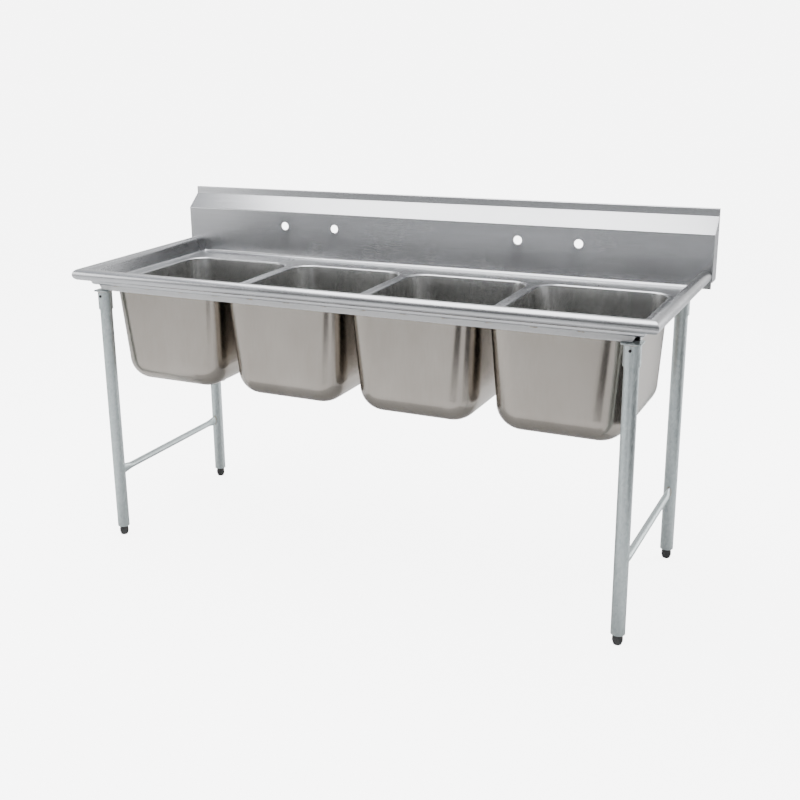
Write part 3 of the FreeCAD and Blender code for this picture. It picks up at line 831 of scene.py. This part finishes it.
def bullet_foot(word, thread, flutes, body_finish, stem_finish):
    """Moulded bullet with grip ribs, on a threaded stem that screws into the leg."""
    node = f"foot_{word}"
    centre, bottom, top = middle(node), low(node).z, high(node).z
    drum_top = low(f"leg_{word}").z + 0.002
    sole, tip, drum, dome, ease, groove = 0.0085, 0.0102, 0.0145, 0.017, 0.0006, 0.0005
    profile = [(0.0, bottom), (sole, bottom), (tip, bottom + ease)]
    for angle in range(15, 91, 15):
        turn = math.radians(angle)
        profile.append((tip + (drum - tip) * math.sin(turn), bottom + dome - (dome - ease) * math.cos(turn)))
    profile += [
        (drum, drum_top - 0.012), (drum - groove, drum_top - 0.0115), (drum - groove, drum_top - 0.0105),
        (drum, drum_top - 0.010), (drum, drum_top - 0.001), (drum - 0.0007, drum_top), (0.0, drum_top),
    ]
    body = turned_piece(f"moulded_foot_{word}", profile, centre, [body_finish], 64)
    ribs = grown("ribs", flutes, {}, body_finish, None, (centre.x, centre.y, bottom + dome))
    core = STEM_RADIUS - THREAD_DEPTH
    stem_profile = [(0.0, drum_top - 0.002), (core, drum_top - 0.002), (core, top - 0.001)]
    stem_profile += [(core - 0.001, top), (0.0, top)]
    stem = turned_piece("stem", stem_profile, centre, [stem_finish], 48)
    turns = math.floor((top - 0.003 - drum_top) / THREAD_PITCH)
    values = {
        "Turns": float(turns), "Pitch": THREAD_PITCH, "Radius": STEM_RADIUS - THREAD_RIDGE,
        "Ridge": THREAD_RIDGE,
    }
    ridge = grown("ridge", thread, values, stem_finish, None, (centre.x, centre.y, drum_top + 0.001))
    piece = joined(f"bullet_foot_{word}", [body, ribs, stem, ridge])
    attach(piece, node)
    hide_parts(node)


# ---- drains ----
def drain(number, thread, finish):
    """Plated basket drain: dished flange, cup and an outlet cut with its pipe thread."""
    node = f"drain_body_{number}"
    centre, lo, hi = middle(node), low(node), high(node)
    flange = (hi.x - lo.x) / 2
    top, bottom = hi.z, lo.z
    cup, outlet, wall = DRAIN_CUP_RADIUS, OUTLET_RADIUS, DRAIN_WALL
    cup_bottom = bottom + OUTLET_LENGTH
    dish, thick, bend, root = 0.0012, 0.002, 0.003, 0.0007
    profile = [
        (cup - wall, top - dish), (cup - wall + 0.001, top), (flange - bend, top),
        (flange - 0.001, top - 0.0006), (flange, top - thick), (cup, top - thick), (cup, cup_bottom + bend),
        (cup - bend, cup_bottom), (outlet - root, cup_bottom), (outlet - root, bottom + 0.001),
        (outlet - 0.0015, bottom), (outlet - wall, bottom), (outlet - wall, cup_bottom + wall),
        (cup - wall - thick, cup_bottom + wall), (cup - wall, cup_bottom + wall + thick),
    ]
    profile.append(profile[0])
    body = turned_piece("cup", profile, centre, [finish])
    values = {
        "Turns": OUTLET_TURNS, "Pitch": OUTLET_PITCH, "Radius": outlet - THREAD_RIDGE, "Ridge": THREAD_RIDGE,
    }
    ridge = grown("ridge", thread, values, finish, None, (centre.x, centre.y, bottom + 0.0015))
    piece = joined(f"basket_drain_{number}", [body, ridge])
    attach(piece, "sink")
    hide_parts(node)


# ---- stage, light and camera ----
def seen_as(tree, plain, seen):
    """A surface that lights and reflects as plain but meets the eye as seen."""
    start = Signal(tree)
    eye = start.node("ShaderNodeLightPath", output="Is Camera Ray")
    return start.node("ShaderNodeMixShader", {}, {0: eye, 1: plain, 2: seen})


def stage():
    """A plain pale floor; it looks nearly white and lights the sink softly from below."""
    mesh = bpy.data.meshes.new("floor")
    corners = [(x * FLOOR_REACH, y * FLOOR_REACH, 0) for x, y in ((-1, -1), (1, -1), (1, 1), (-1, 1))]
    mesh.from_pydata(corners, [], [(0, 1, 2, 3)])
    floor = bpy.data.objects.new("floor", mesh)
    bpy.context.scene.collection.objects.link(floor)
    material = bpy.data.materials.new("pale_floor")
    material.use_nodes = True
    tree = material.node_tree
    tree.nodes.clear()
    start = Signal(tree)
    matt = start.node("ShaderNodeBsdfDiffuse", {}, {"Color": grey(0.8)})
    glow = start.node("ShaderNodeEmission", {}, {"Color": grey(1.0), "Strength": FLOOR_GLOW})
    bright = start.node("ShaderNodeAddShader", {}, {0: matt, 1: glow})
    out = tree.nodes.new("ShaderNodeOutputMaterial")
    tree.links.new(seen_as(tree, matt, bright).socket, out.inputs["Surface"])
    mesh.materials.append(material)


def soft_light(name, size, watts, place, aim):
    """A flat rectangular lamp turned towards a point."""
    lamp = bpy.data.lights.new(name, "AREA")
    lamp.shape = "RECTANGLE"
    lamp.size, lamp.size_y = size
    lamp.energy = watts
    holder = bpy.data.objects.new(name, lamp)
    bpy.context.scene.collection.objects.link(holder)
    holder.location = place
    holder.rotation_euler = (Vector(aim) - Vector(place)).to_track_quat("-Z", "Y").to_euler()


def reflected_only(name, points, faces, finish):
    """A sheet in the studio that only reflections show."""
    mesh = bpy.data.meshes.new(name)
    mesh.from_pydata([tuple(p) for p in points], [], faces)
    mesh.materials.append(finish)
    sheet = bpy.data.objects.new(name, mesh)
    bpy.context.scene.collection.objects.link(sheet)
    sheet.visible_camera = sheet.visible_diffuse = sheet.visible_shadow = False


def dark_card(name, start, end):
    """A curved dark card that stands in front of the sink; its angles run round from the front."""
    steps = 8
    points = []
    for k in range(steps + 1):
        angle = math.radians(start + (end - start) * k / steps)
        foot = Vector((math.sin(angle), -math.cos(angle), 0)) * CARD_DISTANCE
        points += [foot, foot + Vector((0, 0, CARD_HEIGHT))]
    faces = [(2 * k, 2 * k + 2, 2 * k + 3, 2 * k + 1) for k in range(steps)]
    black = fine_grained("card_black", grey(0.012), grey(0.02), rough=0.9, metallic=0.0)
    reflected_only(name, points, faces, black)


def dim_reflected_sheet(reach_x, front, back, tone):
    """A dim grey sheet on the floor that only reflections show; the undersides that reflect it read darker.
    """
    lift = 0.001
    points = [(-reach_x, front, lift), (reach_x, front, lift), (reach_x, back, lift), (-reach_x, back, lift)]
    dim = fine_grained("dim_reflected_grey", grey(tone), grey(tone * 1.2), rough=0.9, metallic=0.0)
    reflected_only("dim_reflected_sheet", points, [(0, 1, 2, 3)], dim)


def studio():
    """A lamp overhead and one on each side, a sky dim in front and pale behind, and the dark sheets."""
    world = bpy.data.worlds.new("studio")
    bpy.context.scene.world = world
    world.use_nodes = True
    tree = world.node_tree
    tree.nodes.clear()
    start = Signal(tree)
    way = start.node("ShaderNodeTexCoord", output="Generated")
    rise = start.node("ShaderNodeSeparateXYZ", {}, {"Vector": way}, "Z") * 0.5 + 0.5
    spread, bias = 1.6, 0.35
    behind = start.node("ShaderNodeSeparateXYZ", {}, {"Vector": way}, "Y") * spread + bias
    factor = start.math("MAXIMUM", start.math("MINIMUM", behind, 1.0), 0.0)
    cool = (0.92, 0.94, 0.98, 1)
    stops = [
        (0.0, grey(0.16)), (0.55, grey(0.10)), (0.72, grey(0.30)), (0.85, (0.78, 0.80, 0.84, 1)), (1.0, cool),
    ]
    ahead = start.node("ShaderNodeValToRGB", {"stops": stops}, {"Fac": rise})
    stops = [(0.0, grey(0.3)), (0.5, grey(1.0)), (0.7, grey(1.0)), (1.0, cool)]
    sweep = start.node("ShaderNodeValToRGB", {"stops": stops}, {"Fac": rise})
    colour_a, colour_b, colour_result = 6, 7, 2
    sockets = {"Factor": factor, colour_a: ahead, colour_b: sweep}
    sky = start.node("ShaderNodeMix", {"data_type": "RGBA"}, sockets, colour_result)
    dim = start.node("ShaderNodeBackground", {}, {"Color": sky, "Strength": 1.0})
    pale = start.node("ShaderNodeBackground", {}, {"Color": grey(1.0), "Strength": BACKDROP_GLOW})
    out = tree.nodes.new("ShaderNodeOutputWorld")
    tree.links.new(seen_as(tree, dim, pale).socket, out.inputs["Surface"])
    soft_light("overhead_box", size=(3.6, 2.4), watts=150, place=(-0.5, -0.2, 3.4), aim=(0, 0, 0.8))
    soft_light("right_panel", size=(1.6, 2.2), watts=75, place=(3.2, 2.6, 1.5), aim=(0, 0, 0.7))
    soft_light("left_panel", size=(1.8, 2.0), watts=40, place=(-3.4, -2.4, 1.9), aim=(0, 0, 0.7))
    # A dim sheet that only reflections show darkens what the undersides reflect.
    dim_reflected_sheet(reach_x=1.0, front=-0.75, back=0.35, tone=0.42)
    dark_card("near_card", start=15, end=38)
    dark_card("side_card", start=56, end=105)


def camera():
    lens = bpy.data.cameras.new("camera")
    lens.lens = CAMERA_LENS
    lens.shift_x, lens.shift_y = CAMERA_SHIFT
    lens.clip_end = 100
    eye = bpy.data.objects.new("camera", lens)
    bpy.context.scene.collection.objects.link(eye)
    azimuth, elevation = math.radians(CAMERA_AZIMUTH), math.radians(CAMERA_ELEVATION)
    roll = math.radians(CAMERA_ROLL)
    level = math.cos(elevation)
    ahead = Vector((-math.sin(azimuth) * level, math.cos(azimuth) * level, -math.sin(elevation)))
    right = Vector((math.cos(azimuth), math.sin(azimuth), 0))
    up = right.cross(ahead)
    level_right = right * math.cos(roll) + up * math.sin(roll)
    level_up = up * math.cos(roll) - right * math.sin(roll)
    turn = Matrix((level_right, level_up, -ahead)).transposed()
    eye.matrix_world = Matrix.Translation(CAMERA_PLACE) @ turn.to_4x4()
    bpy.context.scene.camera = eye


def make_finishes():
    """Every finish; those named for a material slot are also what the kept CAD nodes get."""
    cool_dark, cool_light = (0.485, 0.49, 0.50, 1), (0.60, 0.605, 0.62, 1)
    return {
        "stainless_top": brushed_steel(
            "brushed_deck", cool_dark, cool_light, LENGTHWISE, rough=0.27, bump=0.06),
        "rim_ends": brushed_steel(
            "brushed_ends", cool_dark, cool_light, CROSSWISE, rough=0.27, bump=0.06),
        "splash": brushed_steel(
            "brushed_splash", cool_dark, cool_light, LENGTHWISE, rough=0.26, bump=0.012, patch=0.06),
        "stainless_under": brushed_steel(
            "mill_underside", grey(0.62), grey(0.74), (0.05, 1.0, 1.0), rough=0.42, bump=0.06),
        # The inside is a neutral copy of the bowl's warm steel: its neutral tone is a painted tint that
        # stands in for bluish highlights.
        "bowl_inside": satin_drawn_steel(
            "satin_inside_painted_highlight_tint", (0.46, 0.46, 0.455, 1), (0.58, 0.58, 0.57, 1), rough=0.27),
        "stainless_bowl": satin_drawn_steel(
            "satin_outside", (0.355, 0.325, 0.288, 1), (0.45, 0.415, 0.375, 1), rough=0.22),
        "galvanised_steel": galvanised_tube("galvanised_tube"),
        "weld": tinted_weld("weld_metal"),
        "zinc_casting": fine_grained("cast_zinc", grey(0.42), grey(0.52), rough=0.5),
        "blackened_steel": fine_grained("black_oxide", grey(0.02), grey(0.04), rough=0.45, metallic=0.6),
        "foot_plastic": fine_grained("moulded_foot", grey(0.06), grey(0.09), rough=0.5, metallic=0.0),
        "plated_brass": fine_grained("chrome_plate", grey(0.66), grey(0.76), rough=0.12),
        "drain_rubber": fine_grained("black_rubber", grey(0.015), grey(0.03), rough=0.7, metallic=0.0),
        "strainer_steel": brushed_steel(
            "pressed_strainer", grey(0.5), grey(0.64), EVEN, rough=0.25, bump=0.05),
    }


def main():
    camera()
    stage()
    studio()
    finish = make_finishes()
    for row in frame["record"]["subparts"]:
        for holder in NODES[row["node"]].material_slots:
            holder.material = finish[row["material_slot"]]
    bead, thread, flutes = bead_tree(), thread_tree(), flute_tree()
    rims(finish["stainless_top"], finish["rim_ends"])
    splash(finish["splash"])
    for number in BOWLS:
        drawn_bowl(number, finish["stainless_top"], finish["bowl_inside"], finish["stainless_bowl"])
        drain(number, thread, finish["plated_brass"])
    for word in CORNERS:
        leg_tube(word, finish["galvanised_steel"])
        bullet_foot(word, thread, flutes, finish["foot_plastic"], finish["zinc_casting"])
    for word, _ in SIDES:
        crossrail(word, bead, finish["galvanised_steel"], finish["weld"])
    channel_ends("front", FRONT_CHANNEL_CUT, finish["stainless_under"])
    channel_ends("rear", 0.0, finish["stainless_under"])
    socket_weld(bead, finish["weld"])
    stitch_welds(bead, finish["weld"])


main()
